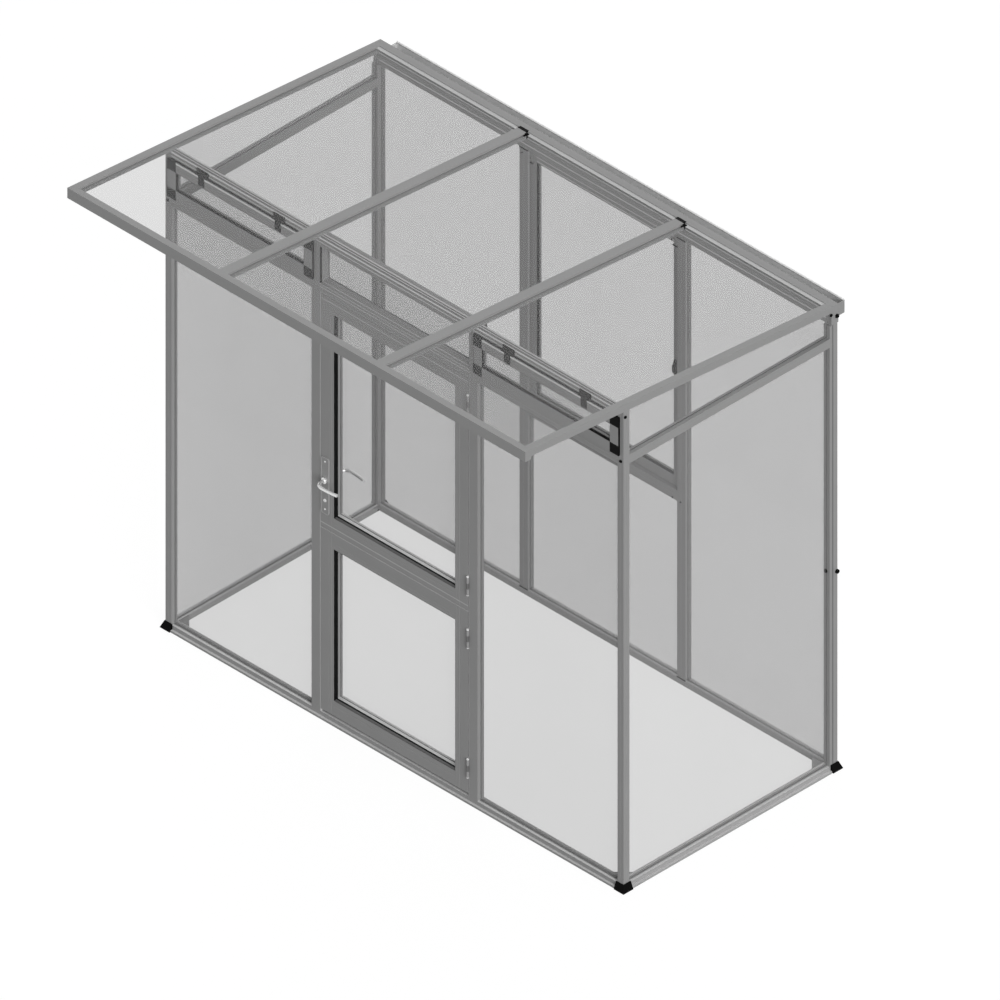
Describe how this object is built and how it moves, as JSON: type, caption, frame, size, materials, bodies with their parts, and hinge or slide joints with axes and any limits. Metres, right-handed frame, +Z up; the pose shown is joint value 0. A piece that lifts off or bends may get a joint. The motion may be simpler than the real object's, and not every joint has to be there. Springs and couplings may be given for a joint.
{
  "type": "lean-to glass greenhouse",
  "caption": "Lean-to glass greenhouse: hollow aluminium frame, sloped glass roof with a front overhang, rear gutter, top vents, rear window and a split glazed door.",
  "frame": {"origin": "on the ground, under the middle of the whole outline with its roof overhang and gutter", "axes": "+X along the front towards the hinge side of the door, +Y from the front to the back wall, +Z up"},
  "size_m": [2.338, 1.637, 2.165],
  "materials": {
    "frame_aluminium": "powder coated grey",
    "glass": "clear",
    "black_plastic": "satin",
    "rubber_seal": "matte",
    "polished_aluminium": "polished"
  },
  "bodies": {
    "frame": {"back_bay_posts": "frame_aluminium", "back_panes": "glass", "back_sill": "frame_aluminium", "beam_end_caps": "frame_aluminium", "corner_brackets": "frame_aluminium", "corner_feet": "black_plastic", "corner_posts": "frame_aluminium", "door_frame_hinges": "frame_aluminium", "door_head_rail": "frame_aluminium", "door_posts": "frame_aluminium", "eaves_rail": "frame_aluminium", "end_rafters": "frame_aluminium", "fanlight_head_rail": "frame_aluminium", "fanlight_pane": "glass", "front_panes": "glass", "front_sill": "frame_aluminium", "gutter": "frame_aluminium", "middle_rafters": "frame_aluminium", "post_shoes": "black_plastic", "rafter_end_caps": "black_plastic", "roof_back_beam": "frame_aluminium", "roof_front_beam": "frame_aluminium", "roof_glazing_strips": "frame_aluminium", "roof_panes": "glass", "side_panes": "glass", "side_rails": "frame_aluminium", "side_sills": "frame_aluminium", "vent_corner_joints": "black_plastic", "vent_frames": "frame_aluminium", "vent_hinges": "black_plastic", "vent_panes": "glass", "vent_seals": "rubber_seal", "vent_sill_rails": "frame_aluminium", "window_corner_joints": "black_plastic", "window_frame": "frame_aluminium", "window_handle": "black_plastic", "window_pane": "glass", "window_seal": "rubber_seal", "window_sill_rail": "frame_aluminium"},
    "lower_door": {"lower_door_stiles": "frame_aluminium", "lower_door_rails": "frame_aluminium", "lower_door_pane": "glass", "lower_door_seal": "rubber_seal", "lower_door_hinges": "frame_aluminium"},
    "upper_door": {"upper_door_stiles": "frame_aluminium", "upper_door_rails": "frame_aluminium", "upper_door_pane": "glass", "upper_door_seal": "rubber_seal", "upper_door_hinges": "frame_aluminium", "lock_plates": "polished_aluminium"},
    "lever": {"lever_handle": "polished_aluminium"}
  },
  "joints": [
    {"name": "lower_door_hinge", "type": "hinge", "parent": "frame", "child": "lower_door", "pos_m": [0.3735, -0.3285, 0.4325], "axis": [0, 0, 1], "range_deg": [0, 110]},
    {"name": "upper_door_hinge", "type": "hinge", "parent": "frame", "child": "upper_door", "pos_m": [0.3735, -0.3285, 1.34154], "axis": [0, 0, 1], "range_deg": [0, 110]},
    {"name": "lever_turn", "type": "hinge", "parent": "upper_door", "child": "lever", "pos_m": [-0.345, -0.301, 1.049], "axis": [0, 1, 0], "range_deg": [0, 40], "stiffness_Nm_per_rad": 2, "springref_deg": -20.05}
  ]
}
